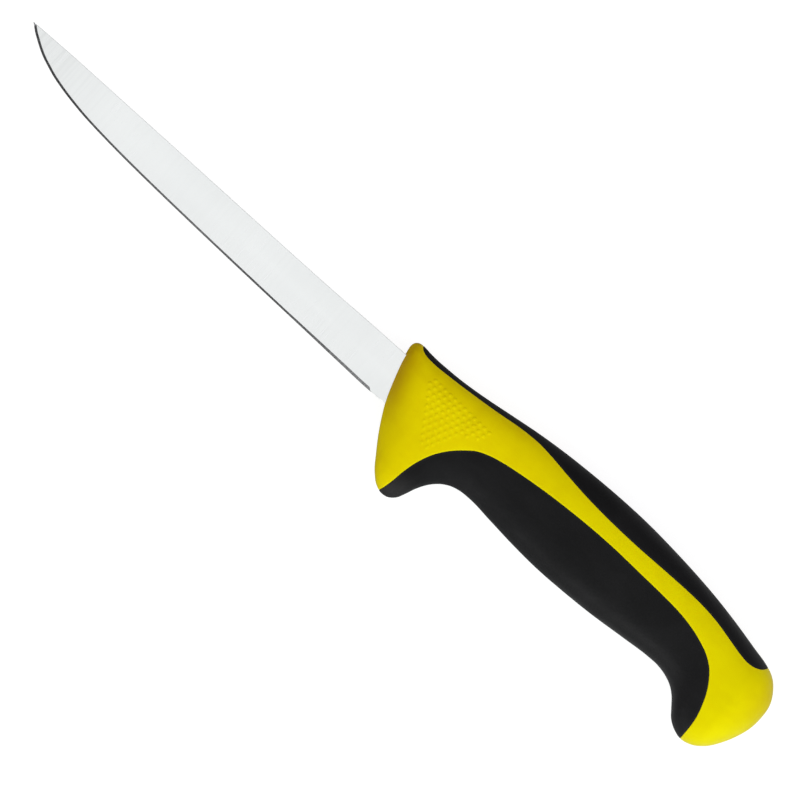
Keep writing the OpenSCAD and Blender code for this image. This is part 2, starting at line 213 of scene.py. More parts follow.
class Seam:
    """A seam drawn on the side view and carried straight through the handle."""

    RUN_OUT = 12    # straight length added past both ends
    CHUNK = 4000    # points measured at a time, to save memory

    def __init__(self, points, grip_left):
        line = curve(points, 10)
        ends = []
        for end, inner in ((line[0], line[1]), (line[-1], line[-2])):
            ends.append(end + (end - inner) / np.linalg.norm(end - inner) * self.RUN_OUT)
        self.line = np.vstack([ends[0], line, ends[1]])
        self.sign = 1.0 if grip_left else -1.0

    def grip_side(self, points, normals):
        """Distance over the skin from the seam, positive on the grip's side."""
        start = self.line[:-1]
        run = self.line[1:] - start
        run_sq = (run ** 2).sum(1)
        distance = np.empty(len(points))
        turn = np.empty(len(points))
        across = np.empty((len(points), 2))
        for first in range(0, len(points), self.CHUNK):
            block = slice(first, first + self.CHUNK)
            offset = points[block, None, :2] - start
            along = np.clip((offset * run).sum(-1) / run_sq, 0, 1)
            gap_sq = ((offset - along[..., None] * run) ** 2).sum(-1)
            nearest = gap_sq.argmin(1)
            rows = np.arange(len(nearest))
            near_run, near_offset = run[nearest], offset[rows, nearest]
            distance[block] = np.sqrt(gap_sq[rows, nearest])
            cross = near_run[:, 0] * near_offset[:, 1] - near_run[:, 1] * near_offset[:, 0]
            turn[block] = np.where(cross >= 0, 1.0, -1.0)
            square = np.stack([-near_run[:, 1], near_run[:, 0]], 1)
            across[block] = square / np.sqrt(run_sq[nearest])[:, None]
        # where the skin leans away from the side view, distance over it is longer
        tilt = np.sqrt(np.maximum(0.06, 1 - (normals[:, :2] * across).sum(1) ** 2))
        return self.sign * turn * distance / tilt


belly_seam = Seam(BELLY_LINE, grip_left=False)
spine_seam = Seam(SPINE_LINE, grip_left=True)


def side(seam, x, angle):
    return seam.grip_side(skin(x, angle), skin_normal(x, angle))


# positive where a piece's skin lies, zero where its lip begins
LEVEL = {
    "handle_core": lambda x, angle: np.minimum(-side(belly_seam, x, angle),
                                               -side(spine_seam, x, angle)) - FILLET,
    "belly_grip": lambda x, angle: side(belly_seam, x, angle) - FILLET,
    "spine_grip": lambda x, angle: side(spine_seam, x, angle) - FILLET,
}


def arc_angles(count):
    """Angles that share a mid-handle section's outline out evenly."""
    angles = np.linspace(-90, 90, 4001)
    points = skin(np.full_like(angles, 84.0), angles)
    steps = np.linalg.norm(np.diff(points, axis=0), axis=1)
    length = np.concatenate([[0], np.cumsum(steps)])
    return np.interp(np.linspace(0, length[-1], count), length, angles)


def stations(low, high, dotted_step):
    """Stations along the handle: close together at both ends and in the dotted zone."""
    x = np.concatenate([
        X_NOSE + 2.3 * np.linspace(0, 1, 19)[:-1] ** 2,
        np.arange(2, 38, dotted_step),
        np.arange(38, 126, 0.5),
        np.arange(126, 148, 0.33),
        148 + (X_BUTT - 148) * (1 - np.linspace(1, 0, 30) ** 2)])
    return x[(x >= low) & (x <= high)]


# ------------------------------------------------------------------ raised dots
DOT_PITCH, DOT_ROW = 2.08, 1.82     # spacing along a row and between rows
DOT_LEAN = rad(-2.5)                # slope of the rows
DOT_SHIFT = 0.72                    # sideways shift from row to row
DOT_START = (12.58, 7.68)
DOT_R, DOT_H = 0.62, 0.145
# outline of the dotted pad on each cheek, as (x, y)
PAD = np.array([
    (10.3, 8.75), (19.5, 8.75), (28, 8.5), (34.0, 8.05), (36.2, 6.4), (36.0, 4.6), (32.6, 2.2),
    (30.3, -0.2), (28.2, -2.6), (26.2, -5.8), (24.8, -9.0), (23.6, -10.6), (21.6, -10.4),
    (20.1, -8.2), (17.2, -3.9), (14.0, 0.6), (11.6, 4.6)])


def in_pad(x, y):
    inside = False
    for (xi, yi), (xj, yj) in zip(PAD, np.roll(PAD, 1, axis=0)):
        if (yi > y) != (yj > y) and x < (xj - xi) * (y - yi) / (yj - yi) + xi:
            inside = not inside
    return inside


def dot_centres():
    along = np.array([math.cos(DOT_LEAN), math.sin(DOT_LEAN)])
    across = np.array([-along[1], along[0]])
    centres = []
    for row in range(-14, 6):
        for k in range(-16, 28):
            centre = (np.array(DOT_START) + (k * DOT_PITCH + row * DOT_SHIFT) * along
                      + row * DOT_ROW * across)
            if in_pad(*centre):
                centres.append(centre)
    return centres


DOTS = dot_centres()


def dot_height(points):
    """Rounded bumps, low and separate, on both cheeks."""
    distance = np.full(len(points), DOT_R)
    for x, y in DOTS:
        distance = np.minimum(distance, np.hypot(points[:, 0] - x, points[:, 1] - y))
    u = np.clip(1 - (distance / DOT_R) ** 2, 0, 1)
    return DOT_H * (1 - (1 - u) ** 2) ** 0.9


# ------------------------------------------------------------------ cutting a skin along its seams
def crossing(level, values, xa, fa, xb, fb):
    """Share of the way from points a to points b where level is zero, by false position."""
    value_a, value_b = values
    low, high = np.zeros(len(xa)), np.ones(len(xa))
    t = value_a / (value_a - value_b)
    for _ in range(6):
        value = level(xa + (xb - xa) * t, fa + (fb - fa) * t)
        beyond = value_a * value > 0
        low, value_a = np.where(beyond, t, low), np.where(beyond, value, value_a)
        high, value_b = np.where(beyond, high, t), np.where(beyond, value_b, value)
        t = np.where(np.abs(value_a - value_b) > 1e-12,
                     low + (high - low) * value_a / (value_a - value_b), t)
        t = np.clip(t, low + 0.02 * (high - low), high - 0.02 * (high - low))
    return t


def snap(xs, angles, level):
    """Grid over the + half with its nearest points moved onto the zero line of level."""
    X, F = np.meshgrid(xs, angles, indexing="ij")
    values = level(X.ravel(), F.ravel()).reshape(X.shape)
    unmoved = 9.0
    nearest = np.full(X.shape, unmoved)
    moved_x, moved_f = X.copy(), F.copy()
    for di, dj in ((1, 0), (0, 1)):
        i, j = np.nonzero(values[:len(xs) - di, :len(angles) - dj] * values[di:, dj:] < 0)
        i2, j2 = i + di, j + dj
        xa, fa, xb, fb = X[i, j], F[i, j], X[i2, j2], F[i2, j2]
        t = crossing(level, (values[i, j], values[i2, j2]), xa, fa, xb, fb)
        for k in range(len(i)):
            spot = (i[k], j[k]) if t[k] < 0.5 else (i2[k], j2[k])
            distance = min(t[k], 1 - t[k])
            if distance < nearest[spot]:
                nearest[spot] = distance
                moved_x[spot] = xa[k] + (xb[k] - xa[k]) * t[k]
                moved_f[spot] = fa[k] + (fb[k] - fa[k]) * t[k]
    signs = np.where(nearest < unmoved, 0, np.sign(values)).astype(int)
    return moved_x, moved_f, signs


def cut_cell(cell, signs):
    """The cell's polygons, split where the zero line runs across it."""
    if min(signs) < 0 < max(signs):
        a, b, c, d = cell
        if signs[0] == 0 and signs[2] == 0:
            return [[a, b, c], [a, c, d]]
        if signs[1] == 0 and signs[3] == 0:
            return [[a, b, d], [b, c, d]]
    elif signs.count(0) == 3:
        k = next(q for q in range(4) if signs[q] != 0)
        a, b, c, d = cell[k:] + cell[:k]
        return [[d, a, b], [c, d, b]]
    return [cell]


def split_faces(X, F, signs, level, poles):
    """Faces inside and outside the zero line; with poles set, each end row is one point."""
    count_x, count_f = X.shape
    index = np.arange(count_x * count_f).reshape(count_x, count_f)
    if poles:
        index[0, :] = index[0, 0]
        index[-1, :] = index[-1, 0]
    inside, outside = [], []

    def centre_inside(polygon):
        i, j = zip(*polygon)
        i, j = list(i), list(j)
        return level(np.array([X[i, j].mean()]), np.array([F[i, j].mean()]))[0] > 0

    for i in range(count_x - 1):
        for j in range(count_f - 1):
            cell = [(i, j), (i + 1, j), (i + 1, j + 1), (i, j + 1)]
            for polygon in cut_cell(cell, [signs[k] for k in cell]):
                total = sum(signs[k] for k in polygon)
                is_inside = total > 0 if total != 0 else centre_inside(polygon)
                corners = tuple(dict.fromkeys(int(index[k]) for k in polygon))
                if len(corners) > 2:
                    (inside if is_inside else outside).append(corners)
    return inside, outside


def rim_edges(faces):
    """Directed edges that only one of the faces uses."""
    edges = {}
    for face in faces:
        for a, b in zip(face, face[1:] + face[:1]):
            if (b, a) in edges:
                del edges[(b, a)]
            else:
                edges[(a, b)] = True
    return list(edges)


def lip_points(edges, points, normals, base):
    """Quarter-round lip at each rim point; its tangent is taken from two points each way."""
    following = dict(edges)
    previous = {b: a for a, b in edges}
    lips = {}
    for v in following:
        a, b = previous[v], following[v]
        a2, b2 = previous.get(a, a), following.get(b, b)
        tangent = (points[b] - points[a]) + 0.5 * (points[b2] - points[a2])
        tangent /= max(np.linalg.norm(tangent), 1e-12)
        outward = np.cross(tangent, normals[v])
        outward /= max(np.linalg.norm(outward), 1e-12)
        lips[v] = [base[v] + FILLET * math.sin(rad(turn)) * outward
                   - FILLET * (1 - math.cos(rad(turn))) * normals[v]
                   for turn in (18, 36, 54, 72, 90)]
    return lips


def build_piece(name, xs, angles, depth_rule):
    """Closed mesh of one moulding: skin, rounded lips, walls and its inner surface."""
    level = LEVEL[name]
    core = name == "handle_core"
    X, F, signs = snap(xs, angles, level)
    inside, outside = split_faces(X, F, signs, level, poles=core)
    # both halves; points of the centre plane are shared
    shared = np.zeros(X.shape, bool)
    shared[:, 0] = shared[:, -1] = True
    if core:
        shared[0, :] = shared[-1, :] = True
    shared = shared.ravel()
    points, normals = skin(X.ravel(), F.ravel()), skin_normal(X.ravel(), F.ravel())
    points[shared, 2] = 0
    mirror = np.where(shared, 0, len(points)) + np.arange(len(points))
    points = np.vstack([points, points * [1, 1, -1]])
    normals = np.vstack([normals, normals * [1, 1, -1]])
    for half in (inside, outside):
        half += [tuple(int(mirror[v]) for v in reversed(face)) for face in half]

    base = points - INSET * normals
    outer = base + normals * dot_height(points)[:, None] if core else base
    inner = points - depth_rule(points)[:, None] * normals
    edges = rim_edges(inside)
    lips = lip_points(edges, points, normals, base)
    last = 6        # layer 0 is the outer skin, 1 to 5 the lip, the last one the inner surface
    verts, faces, index = [], [], {}

    def vertex(layer, v):
        if (layer, v) not in index:
            index[layer, v] = len(verts)
            if layer == 0:
                verts.append(outer[v])
            else:
                verts.append(inner[v] if layer == last else lips[v][layer - 1])
        return index[layer, v]

    for face in inside:
        faces.append([vertex(0, v) for v in face])
    for a, b in edges:
        for k in range(last):
            faces.append([vertex(k, b), vertex(k, a), vertex(k + 1, a), vertex(k + 1, b)])
    # the core's recess floors join on under the grips; a grip has its own underside
    for face in outside if core else [tuple(reversed(face)) for face in inside]:
        faces.append([vertex(last, v) for v in face])
    me = bpy.data.meshes.new(name)
    me.from_pydata((np.array(verts) * MM).tolist(), [], faces)
    me.validate()
    me.polygons.foreach_set("use_smooth", np.ones(len(me.polygons), bool))
    me.update()
    return me


# ------------------------------------------------------------------ recesses under the grips
GRIP_T = 2.0        # depth of the recesses
GRIP_GAP = 0.02     # left between a grip and the floor of its recess


def recess_depth(points):
    """Depth of the recess under both grips, running out at its ends."""
    x = points[:, 0]
    middle = 0.5 * (look(x, top_curve) + look(x, bottom_curve))
    belly = (GRIP_T * round_in(x - BELLY_LINE[0][0], 2.4)
             * round_in(BELLY_LINE[-1][0] - x, 1.6))
    spine = GRIP_T * round_in(x - SPINE_LINE[0][0], 5) * round_in(SPINE_LINE[-1][0] - x, 3)
    return np.maximum(np.where(points[:, 1] < middle, belly, spine), FILLET + 0.12)


def grip_depth(points):
    return recess_depth(points) - GRIP_GAP


# ------------------------------------------------------------------ wear and painted shade
def vertex_vectors(me, key):
    values = np.empty(len(me.vertices) * 3, np.float32)
    me.vertices.foreach_get(key, values)
    return values.reshape(-1, 3).astype(float)


def mark_wear_and_painted_shade(me):
    """Point attributes for the materials.

    wear: lips of the seams and tops of the dots. Painted shade down in the gaps and round the dots'
    feet.
    Painted shade at the guard's front edge and round the butt, where the colour turns a darker
    orange.
    """
    points, normals = vertex_vectors(me, "co") * 1000, vertex_vectors(me, "normal")
    gap = np.minimum(np.abs(belly_seam.grip_side(points, normals)),
                     np.abs(spine_seam.grip_side(points, normals)))
    dot = dot_height(points) / DOT_H
    # painted shade round the feet of the dots and down in the seam gaps
    dot_foot_shade = np.where((dot > 0) & (dot < 0.35), 0.35, 0.0)
    wear = np.maximum(smooth(1 - np.abs(gap - FILLET) / 0.45), 0.5 * dot ** 2)
    painted_hollow_shade = np.maximum(smooth(1 - gap / (0.6 * FILLET)), dot_foot_shade)
    x, y = points[:, 0], points[:, 1]
    # painted shade on the guard's front edge and the butt's end, where they turn away from the
    # light
    guard = (0.68 * smooth((y + 16) / 16) * (1 - 0.45 * smooth((y - 7) / 5))
             * np.exp(-(behind_front(x, y) / 4.6) ** 2))
    butt = 0.30 * smooth((x - 145) / 9) * smooth((y + 16) / 20)
    for key, values in (("wear", wear), ("painted_hollow_shade", painted_hollow_shade), ("painted_shade", guard + butt)):
        attribute = me.attributes.new(key, "FLOAT", "POINT")
        attribute.data.foreach_set("value", values.astype(np.float32))


# ------------------------------------------------------------------ objects and booleans
def place(name, data):
    ob = bpy.data.objects.new(name, data)
    bpy.context.scene.collection.objects.link(ob)
    return ob


def make(name, me, mat):
    """One piece of the knife, standing in for the CAD piece of the same name."""
    ob = place(name, me)
    me.materials.append(mat)
    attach(ob, "root")
    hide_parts(name)
    return ob


def bmesh_to_mesh(name, bm):
    me = bpy.data.meshes.new(name)
    bm.to_mesh(me)
    bm.free()
    return me


def prism(name, loop, half_height):
    bm = bmesh.new()
    low, high = [[bm.verts.new((x * MM, y * MM, z * MM)) for x, y in loop]
                 for z in (-half_height, half_height)]
    bm.faces.new(list(reversed(low)))
    bm.faces.new(high)
    for i in range(len(loop)):
        j = (i + 1) % len(loop)
        bm.faces.new((low[i], low[j], high[j], high[i]))
    bmesh.ops.recalc_face_normals(bm, faces=bm.faces)
    return bmesh_to_mesh(name, bm)


def combine(base, tool_mesh, operation, solver="EXACT"):
    """Boolean of base with another closed mesh, applied."""
    tool = place("tool", tool_mesh)
    mod = base.modifiers.new("cut", "BOOLEAN")
    mod.operation, mod.object, mod.solver = operation, tool, solver
    graph = bpy.context.evaluated_depsgraph_get()
    me = bpy.data.meshes.new_from_object(base.evaluated_get(graph))
    base.modifiers.clear()
    old = base.data
    base.data = me
    me.name = base.name
    bpy.data.meshes.remove(old)
    bpy.data.objects.remove(tool)
    bpy.data.meshes.remove(tool_mesh)


# ------------------------------------------------------------------ blade
BLADE_T, EDGE_T = 2.0, 0.6          # thickness of the blank at the back and at the edge
SLOPE = (BLADE_T - EDGE_T) / 2 / 15.2
TIP_X, TIP_Y = -152.4, 7.22
TIP_TAPER, FLAT_LEN = 0.5, 62.0     # thickness left at the tip; length before the taper starts
BEVEL_W, BEVEL_HEEL_W = 0.66, 0.9
BEVEL_END = -1.4                    # the bevel dies out into the blunt heel from here
BLUNT_W = 0.1                       # what is left of the bevel's width on the heel
EDGE_LAND = 0.03                    # half thickness of the sharp edge
BACK_R = 0.13                       # rounding of the back's corners
ROOT_X = 10.0
TANG_END, TANG_H, TANG_Y = 118.0, 10.0, 0.4
TANG_HALF_T = EDGE_T / 2 + 0.65
HOLES, HOLE_R, FIRST_HOLE_X = 4, 2.6, 26
HOLE_PITCH = (TANG_END - 14 - FIRST_HOLE_X) / (HOLES - 1)
CLEAR = 0.02        # gap left round the steel where the core is moulded over it


def face_half(x, y):
    """Half thickness of the blank: thinner towards the edge and towards the tip."""
    u = np.maximum(0, (-FLAT_LEN - x) / (-TIP_X - FLAT_LEN))
    taper = 1 - (1 - TIP_TAPER) * smooth(u * 0.75) / smooth(0.75)
    return (EDGE_T / 2 + SLOPE * (y + 7.35)) * taper


def bevel_width(x):
    return (BEVEL_W + (BEVEL_HEEL_W - BEVEL_W) * smooth((x + 40) / 32)
            + 0.15 * smooth((-110 - x) / 40))


def blade_profile(x, grow):
    """Half section as (y, z), from the edge up to the back."""
    back, edge = look(x, spine_curve) + grow, look(x, edge_curve) - grow
    reach = 0.3
    rise = (look(x + reach, edge_curve) - look(x - reach, edge_curve)) / (2 * reach)
    blunt = smooth((x - BEVEL_END) / 1.3)
    width = bevel_width(x) * (1 - blunt) + BLUNT_W * blunt
    bevel_top = min(edge + width * math.sqrt(1 + rise * rise), edge + 0.9 * (back - edge))
    bevel_half, back_half = face_half(x, bevel_top), face_half(x, back)
    edge_half = EDGE_LAND + (face_half(x, edge) * 0.85 - EDGE_LAND) * blunt
    radius = min(BACK_R, 0.4 * back_half, 0.3 * (back - bevel_top))
    profile = [(edge, edge_half)]
    for t in (0.33, 0.66, 1.0):
        profile.append((edge + (bevel_top - edge) * t, edge_half + (bevel_half - edge_half) * t))
    for t in (0.06, 0.2, 0.4, 0.6, 0.8, 0.94):
        y = bevel_top + (back - radius - bevel_top) * t
        profile.append((y, face_half(x, y)))
    for turn in (0, 30, 60, 90):
        profile.append((back - radius + radius * math.sin(rad(turn)),
                        back_half - radius * (1 - math.cos(rad(turn)))))
    return [(y, z + grow) for y, z in profile]


def build_blade(grow=0.0):
    """Blank with tapers, a ground bevel, a blunt heel and a softened back.

    With grow set, only the end inside the handle, bigger by that much, to cut the core's slot.
    """
    xs = np.concatenate([
        TIP_X + 14 * np.linspace(0, 1, 44) ** 1.8,
        np.arange(-137.4, -4, 1.0),
        np.arange(-4, 1.2, 0.2),
        np.arange(1.2, ROOT_X, 0.8),
        [ROOT_X]])
    if grow:
        xs = xs[xs > -2.5]
        xs[-1] += grow
    else:
        xs = xs[1:]     # the tip itself is a single point
    bm = bmesh.new()
    rows = []
    for x in xs:
        profile = blade_profile(x, grow)
        loop = profile + [(y, -z) for y, z in reversed(profile)]
        rows.append([bm.verts.new((x * MM, y * MM, z * MM)) for y, z in loop])
    count = len(rows[0])
    point = None if grow else bm.verts.new((TIP_X * MM, TIP_Y * MM, 0))
    if grow:
        bm.faces.new(list(reversed(rows[0])))
    for j in range(count):
        k = (j + 1) % count
        if point:
            bm.faces.new((point, rows[0][k], rows[0][j]))
        for a, b in zip(rows, rows[1:]):
            bm.faces.new((a[j], a[k], b[k], b[j]))
    bm.faces.new(rows[-1])
    bmesh.ops.recalc_face_normals(bm, faces=bm.faces)
    return bmesh_to_mesh("blade", bm)


def tang_loop(grow):
    radius = TANG_H / 2 + grow
    end, start = TANG_END - TANG_H / 2, ROOT_X - 5
    arc = [(end + radius * math.sin(rad(a)), TANG_Y - radius * math.cos(rad(a)))
           for a in range(6, 175, 6)]
    return ([(start, TANG_Y - radius), (end, TANG_Y - radius)] + arc
            + [(end, TANG_Y + radius), (start, TANG_Y + radius)])


def circle(cx, cy, radius, count=48):
    turns = [2 * math.pi * k / count for k in range(count)]
    return [(cx + radius * math.cos(a), cy + radius * math.sin(a)) for a in turns]


def add_tang(ob, grow=0.0):
    """Tang with its lock holes; grow makes the steel bigger and the holes smaller."""
    combine(ob, prism("tang", tang_loop(grow), TANG_HALF_T + grow), "UNION")
    for i in range(HOLES):
        loop = circle(FIRST_HOLE_X + i * HOLE_PITCH, TANG_Y, HOLE_R - grow)
        combine(ob, prism("hole", loop, 5), "DIFFERENCE")


def cut_slot(core):
    """The core is moulded round the steel, and its plastic fills the lock holes."""
    slot = place("slot", build_blade(CLEAR))
    add_tang(slot, CLEAR)
    slot_mesh = slot.data
    bpy.data.objects.remove(slot)
    combine(core, slot_mesh, "DIFFERENCE", "MANIFOLD")
    core.data.set_sharp_from_angle(angle=rad(60))


def paint_blade(me, steel, bevel):
    """Bevel steel on the faces just above the edge that look down and sideways."""
    me.materials.clear()
    me.materials.append(steel)
    me.materials.append(bevel)
    for face in me.polygons:
        centre, normal = face.center * 1000, face.normal
        ground = (centre.x < 0.2 and -0.9 < normal.y < -0.14 and abs(normal.x) < 0.5
                  and centre.y < look(centre.x, edge_curve) + 2.2)
        face.material_index = 1 if ground else 0
        face.use_smooth = True
    me.set_sharp_from_angle(angle=rad(7))


# ------------------------------------------------------------------ node trees
def srgb(r, g, b):
    def linear(c):
        c /= 255
        return c / 12.92 if c <= 0.04045 else ((c + 0.055) / 1.055) ** 2.4
    return (linear(r), linear(g), linear(b), 1)


class Tree:
    """Short names for building the node tree of a material or world."""

    def __init__(self, owner):
        owner.use_nodes = True
        self.nodes, self.links = owner.node_tree.nodes, owner.node_tree.links
        self.nodes.clear()

    def set(self, node, inputs):
        """Link or set inputs, given by name or number."""
        for key, value in inputs.items():
            if hasattr(value, "is_output"):
                self.links.new(value, node.inputs[key])
            else:
                node.inputs[key].default_value = value

    def add(self, kind, inputs=None, **settings):
        node = self.nodes.new("ShaderNode" + kind)
        for key, value in settings.items():
            setattr(node, key, value)
        self.set(node, inputs or {})
        return node

    def math(self, operation, *values):
        return self.add("Math", dict(enumerate(values)), operation=operation).outputs[0]

    def ramp(self, value, span, to=(0.0, 1.0)):
        """Smooth step: the span of value is mapped to the range to."""
        return self.add("MapRange", {
            "Value": value, "From Min": span[0], "From Max": span[1],
            "To Min": to[0], "To Max": to[1]}, interpolation_type="SMOOTHSTEP").outputs[0]


class Material(Tree):
    """A principled material textured in object space."""

    def __init__(self, name):
        self.mat = bpy.data.materials.new(name)
        super().__init__(self.mat)
        out = self.add("OutputMaterial")
        self.bsdf = self.add("BsdfPrincipled")
        self.links.new(self.bsdf.outputs[0], out.inputs[0])
        self.position = self.add("TexCoord").outputs["Object"]

    def finish(self, inputs):
        self.set(self.bsdf, inputs)
        return self.mat

    def mapped(self, scale, turn=0.0):
        """Position scaled per axis and turned about Z, in degrees."""
        return self.add("Mapping", {"Vector": self.position, "Scale": scale,
                                    "Rotation": (0, 0, rad(turn))}).outputs[0]

    def noise(self, scale, detail=3, roughness=0.5, vector=None, distortion=0.0):
        return self.add("TexNoise", {
            "Vector": vector or self.position, "Scale": scale, "Detail": detail,
            "Roughness": roughness, "Distortion": distortion}).outputs["Fac"]

    def voronoi(self, scale, feature="F1"):
        return self.add("TexVoronoi", {"Vector": self.position, "Scale": scale},
                        feature=feature).outputs["Distance"]

    def mix(self, factor, a, b):
        return self.add("Mix", {0: factor, 6: a, 7: b}, data_type="RGBA").outputs[2]

    def bump(self, height, distance, strength, normal=None):
        inputs = {"Strength": strength, "Distance": distance, "Height": height}
        if normal is not None:
            inputs["Normal"] = normal
        return self.add("Bump", inputs).outputs[0]

    def xyz(self):
        return self.add("SeparateXYZ", {0: self.position}).outputs

    def parting_bump(self, normal):
        """Faint witness line left where the two mould halves meet."""
        line = self.ramp(self.math("ABSOLUTE", self.xyz()[2]), span=(0.00016, 0.00005))
        return self.bump(line, distance=0.00004, strength=0.5, normal=normal)

    def attribute(self, name):
        return self.add("Attribute", attribute_name=name).outputs["Fac"]


# ------------------------------------------------------------------ materials
def yellow_plastic():
    m = Material("satin_yellow_polypropylene")
    flow = m.noise(scale=55, roughness=0.55, vector=m.mapped((1, 2.2, 1)), distortion=0.4)
    blotch = m.noise(scale=260, detail=2)
    colour = m.mix(m.ramp(flow, span=(0.35, 0.65)), srgb(231, 212, 1), srgb(227, 207, 2))
    colour = m.mix(m.ramp(blotch, span=(0.3, 0.7), to=(0, 0.45)), colour, srgb(235, 218, 1))
    # the colour runs very slightly greener from the guard to the butt
    x = m.xyz()[0]
    warm, green = (1.0, 0.60, 0.0, 1), (0.30, 0.62, 0.0, 1)
    colour = m.mix(m.ramp(x, span=(0.040, 0.085), to=(0.035, 0.0)), colour, warm)
    colour = m.mix(m.ramp(x, span=(0.040, 0.085), to=(0.0, 0.06)), colour, green)
    # painted shade: the colour turns a darker orange at the guard's front edge and round the butt,
    # where these faces turn from the light
    colour = m.mix(m.attribute("painted_shade"), colour, srgb(176, 128, 1))
    # handled edges polish up a little lighter; painted shade darkens the seam gaps and the dots'
    # feet
    for key, strength, tint in (("wear", 0.45, (238, 224, 12)), ("painted_hollow_shade", 0.60, (176, 154, 6))):
        colour = m.mix(m.math("MULTIPLY", m.attribute(key), strength), colour, srgb(*tint))
    smudge = m.noise(scale=120, detail=4, roughness=0.6, vector=m.mapped((1, 1.6, 1)),
                     distortion=1.0)
    # surface: fine grain, orange peel, sparse slanting scratches, parting line
    grain = m.noise(scale=3200, detail=2, roughness=0.6)
    peel = m.noise(scale=820, detail=2, roughness=0.55)
    scratch = m.noise(scale=900, detail=2, vector=m.mapped((0.10, 1, 1), turn=24),
                      distortion=0.2)
    normal = m.bump(grain, distance=0.00003, strength=0.30)
    normal = m.bump(peel, distance=0.00008, strength=0.40, normal=normal)
    normal = m.bump(m.ramp(scratch, span=(0.66, 0.72)), distance=0.00002, strength=0.25,
                    normal=normal)
    return m.finish({
        "Base Color": colour,
        "Roughness": m.ramp(smudge, span=(0.3, 0.7), to=(0.40, 0.52)),
        "IOR": 1.49,
        "Specular IOR Level": 0.13,
        "Specular Tint": (1.0, 0.85, 0.05, 1),
        "Subsurface Weight": 0.12,
        "Subsurface Radius": (1.0, 0.7, 0.1),
        "Subsurface Scale": 0.0009,
        "Normal": m.parting_bump(normal)})


def soft_grip():
    m = Material("soft_black_elastomer")
    cloud = m.noise(scale=70, roughness=0.55, vector=m.mapped((1, 1.8, 1)), distortion=0.5)
    dark, light = (0.0048, 0.0047, 0.0051, 1), (0.0072, 0.0070, 0.0076, 1)
    worn, fleck, lobe_highlight_grey = (0.018, 0.018, 0.019, 1), (0.018, 0.018, 0.020, 1), (
        0.0235, 0.0222, 0.0228, 1)
    colour = m.mix(m.ramp(cloud, span=(0.3, 0.7)), dark, light)
    colour = m.mix(m.math("MULTIPLY", m.attribute("wear"), 0.5), colour, worn)
    speck = m.voronoi(scale=1500)
    colour = m.mix(m.ramp(speck, span=(0.20, 0.05), to=(0, 0.30)), colour, fleck)
    # painted highlight: the lobe behind the guard is lightened to a paler grey, where it catches a
    # sheen
    x, y, _ = m.xyz()
    lobe = m.math("MULTIPLY", m.ramp(x, span=(0.0370, 0.0260)),
                  m.ramp(y, span=(-0.0180, -0.0255)))
    colour = m.mix(m.math("MULTIPLY", lobe, 0.85), colour, lobe_highlight_grey)
    rub = m.noise(scale=45, roughness=0.6, distortion=0.8)
    # surface: grain, pebbles, broad unevenness, parting line
    normal = m.bump(m.noise(scale=2200, roughness=0.65), distance=0.00005, strength=0.55)
    normal = m.bump(m.voronoi(scale=1700, feature="SMOOTH_F1"), distance=0.00004,
                    strength=0.40, normal=normal)
    normal = m.bump(m.noise(scale=760, detail=2, roughness=0.6), distance=0.00012,
                    strength=0.55, normal=normal)
    return m.finish({
        "Base Color": colour,
        "Roughness": m.ramp(rub, span=(0.3, 0.7), to=(0.50, 0.66)),
        "IOR": 1.5,
        "Specular IOR Level": 0.11,
        "Sheen Weight": 0.03,
        "Sheen Roughness": 0.5,
        "Sheen Tint": (0.55, 0.55, 0.6, 1),
        "Normal": m.parting_bump(normal)})


def blade_steel():
    m = Material("ground_stainless_steel")
    x = m.xyz()[0]
    # fine grinding lines from the back to the edge, broken up along their length
    lines = m.noise(scale=1.0, roughness=0.6, vector=m.mapped((5200, 70, 1)))
    broad = m.noise(scale=1.0, detail=2, vector=m.mapped((900, 16, 1), turn=3))
    cloud = m.noise(scale=30, detail=2)
    to_tip = m.ramp(x, span=(-0.112, -0.152))
    # broad streaks show more towards the tip
    streak = m.math("MULTIPLY", m.ramp(broad, span=(0.42, 0.70)),
                    m.math("MULTIPLY_ADD", to_tip, 0.16, 0.03))
    tone = m.mix(to_tip, srgb(238, 240, 240), srgb(230, 232, 232))
    tone = m.mix(streak, tone, srgb(186, 188, 188))
    tone = m.mix(m.ramp(cloud, span=(0.35, 0.7), to=(0, 0.10)), tone, srgb(220, 223, 224))
    # painted shade: the steel's colour darkens towards grazing views, dimming its reflection there
    facing = m.add("LayerWeight", {"Blend": 0.5}).outputs["Facing"]
    tone = m.mix(m.ramp(facing, span=(0.5, 0.9), to=(0, 0.75)), tone, srgb(150, 152, 154))
    normal = m.bump(lines, distance=0.000012, strength=0.35)
    return m.finish({
        "Base Color": tone,
        "Metallic": 1.0,
        "Roughness": m.math("ADD", m.ramp(lines, span=(0.3, 0.7), to=(0.27, 0.36)),
                            m.ramp(cloud, span=(0.3, 0.7), to=(-0.015, 0.02))),
        "Anisotropic": 0.35,
        "Anisotropic Rotation": 0.25,
        "Normal": m.bump(broad, distance=0.00003, strength=0.18, normal=normal)})


